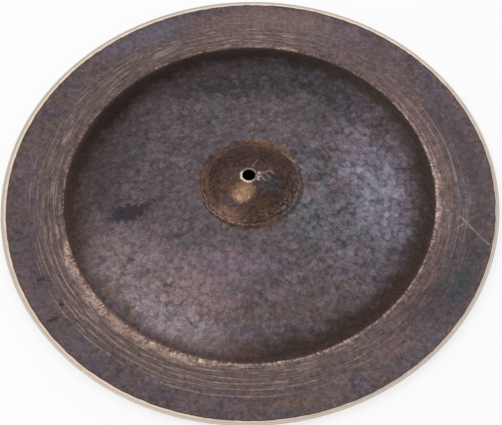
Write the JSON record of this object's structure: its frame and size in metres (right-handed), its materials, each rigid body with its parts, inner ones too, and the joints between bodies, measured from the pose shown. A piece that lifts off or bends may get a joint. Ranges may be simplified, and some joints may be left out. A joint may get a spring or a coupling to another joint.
{
  "type": "china cymbal",
  "caption": "China cymbal: a hammered bronze disc with a small raised bell, a mounting hole, a broad bow, a sharp crease and an upturned flange, struck on a stand.",
  "frame": {"origin": "on the cymbal's axis, in the plane that the crease rests on when the cymbal lies bell up", "axes": "+Z along the cymbal's axis, out through the top of the bell; +X and +Y across the disc, which is round"},
  "size_m": [0.4572, 0.4572, 0.0269],
  "materials": {
    "bronze": "hand-hammered bell bronze with a dark brown and grey-violet patina, turned rings on the flange and a bare bevelled edge"
  },
  "bodies": {
    "root": {"cymbal": "bronze"}
  },
  "joints": []
}
